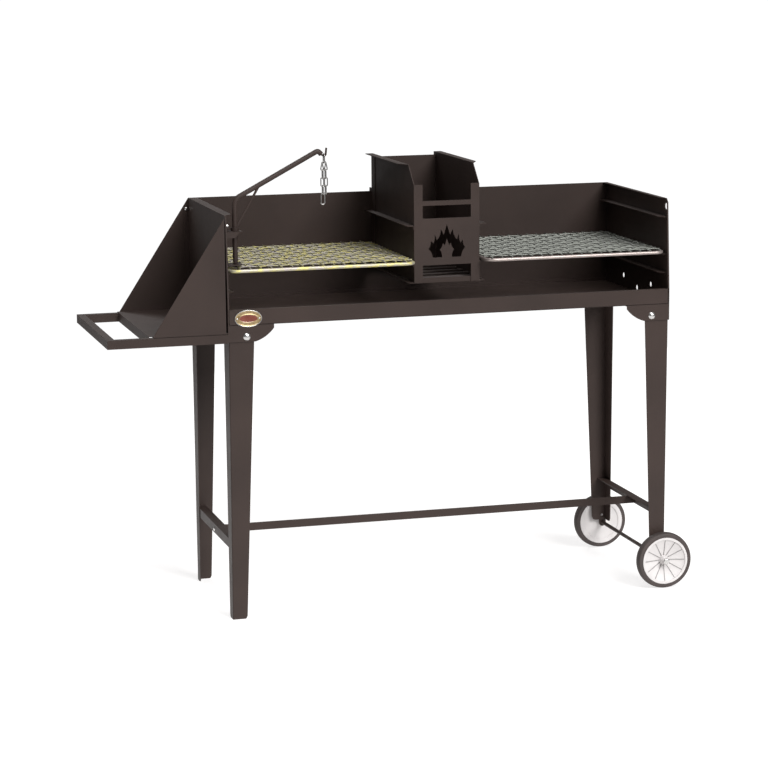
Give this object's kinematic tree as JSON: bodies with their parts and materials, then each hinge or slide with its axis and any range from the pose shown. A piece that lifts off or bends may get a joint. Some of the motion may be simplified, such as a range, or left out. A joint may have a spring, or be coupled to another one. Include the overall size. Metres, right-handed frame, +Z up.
{
  "type": "charcoal barbecue cart",
  "caption": "Open-fronted sheet-steel charcoal barbecue on tall legs with a fire basket, sliding cooking grates, a side shelf with push handle and a swinging pot arm.",
  "frame": {"origin": "on the ground, under the middle of the overall length and depth, push handle and wheels included", "axes": "+X along the firebox from the push handle towards the wheels, +Y from the open front to the back wall, +Z up"},
  "size_m": [1.548, 0.532, 1.1933],
  "materials": {
    "painted_steel": "satin dark brown-black heat-resistant paint",
    "zinc_fasteners": "bright zinc plate",
    "grate_yellow_zinc": "yellow passivated zinc plate",
    "grate_bright_zinc": "bright zinc plate",
    "chain_zinc": "bright zinc plate",
    "wheel_plastic": "moulded white plastic",
    "tyre_rubber": "dark solid rubber",
    "badge_metal": "plain gold-coloured plate with a raised silver rim"
  },
  "bodies": {
    "frame": {"arm_lower_bracket": "painted_steel", "arm_upper_bracket": "painted_steel", "axle": "painted_steel", "axle_caps": "zinc_fasteners", "back_wall": "painted_steel", "badge_plate": "badge_metal", "badge_rivets": "zinc_fasteners", "basket_back": "painted_steel", "basket_front": "painted_steel", "basket_hangers": "painted_steel", "basket_ledges_left": "painted_steel", "basket_ledges_right": "painted_steel", "basket_left_side": "painted_steel", "basket_right_side": "painted_steel", "basket_sill": "painted_steel", "crossbar_left": "painted_steel", "crossbar_right": "painted_steel", "ember_bars": "painted_steel", "firebox_floor": "painted_steel", "front_apron": "painted_steel", "gusset_bolts": "zinc_fasteners", "gusset_fl": "painted_steel", "gusset_fr": "painted_steel", "gusset_rl": "painted_steel", "gusset_rr": "painted_steel", "handle_front_tube": "painted_steel", "handle_grip_tube": "painted_steel", "handle_rear_tube": "painted_steel", "ledges_left": "painted_steel", "ledges_right": "painted_steel", "left_wall": "painted_steel", "leg_fl": "painted_steel", "leg_fr": "painted_steel", "leg_rl": "painted_steel", "leg_rr": "painted_steel", "right_wall": "painted_steel", "shelf_bolts": "zinc_fasteners", "shelf_floor": "painted_steel", "shelf_front_plate": "painted_steel", "shelf_rear_plate": "painted_steel", "stretcher": "painted_steel", "stretcher_bolts": "zinc_fasteners"},
    "wheel_front": {"wheel_front_disc": "wheel_plastic", "wheel_front_tyre": "tyre_rubber"},
    "wheel_rear": {"wheel_rear_disc": "wheel_plastic", "wheel_rear_tyre": "tyre_rubber"},
    "swing_arm": {"pot_arm": "painted_steel", "arm_hook": "painted_steel", "arm_brace": "painted_steel", "arm_collar": "painted_steel"},
    "chain_top": {"chain_top_link": "chain_zinc"},
    "long_strand": {"chain_long_strand": "chain_zinc"},
    "short_strand": {"chain_short_strand": "chain_zinc"},
    "grate_left": {"grate_left_frame": "grate_yellow_zinc", "grate_left_wires": "grate_yellow_zinc", "grate_left_cross_wires": "grate_yellow_zinc"},
    "grate_right": {"grate_right_frame": "grate_bright_zinc", "grate_right_wires": "grate_bright_zinc", "grate_right_cross_wires": "grate_bright_zinc"}
  },
  "joints": [
    {"name": "wheel_front_spin", "type": "hinge", "parent": "frame", "child": "wheel_front", "pos_m": [0.699, -0.242, 0.075], "axis": [0, 1, 0], "continuous": true},
    {"name": "wheel_rear_spin", "type": "hinge", "parent": "frame", "child": "wheel_rear", "pos_m": [0.699, 0.242, 0.075], "axis": [0, 1, 0], "continuous": true},
    {"name": "arm_swing", "type": "hinge", "parent": "frame", "child": "swing_arm", "pos_m": [-0.437, -0.186, 0.993], "axis": [0, 0, 1], "range_deg": [-90, 90]},
    {"name": "chain_sway", "type": "hinge", "parent": "swing_arm", "child": "chain_top", "pos_m": [-0.205, -0.186, 1.174], "axis": [1, 0, 0], "range_deg": [-35, 35]},
    {"name": "long_strand_swing", "type": "hinge", "parent": "chain_top", "child": "long_strand", "pos_m": [-0.205, -0.186, 1.15485], "axis": [0, 1, 0], "range_deg": [0, 25]},
    {"name": "short_strand_swing", "type": "hinge", "parent": "chain_top", "child": "short_strand", "pos_m": [-0.205, -0.186, 1.15485], "axis": [0, 1, 0], "range_deg": [-25, 0]},
    {"name": "grate_left_slide", "type": "slide", "parent": "frame", "child": "grate_left", "axis": [0, -1, 0], "range_m": [0, 0.4]},
    {"name": "grate_right_slide", "type": "slide", "parent": "frame", "child": "grate_right", "axis": [0, -1, 0], "range_m": [0, 0.4]}
  ]
}
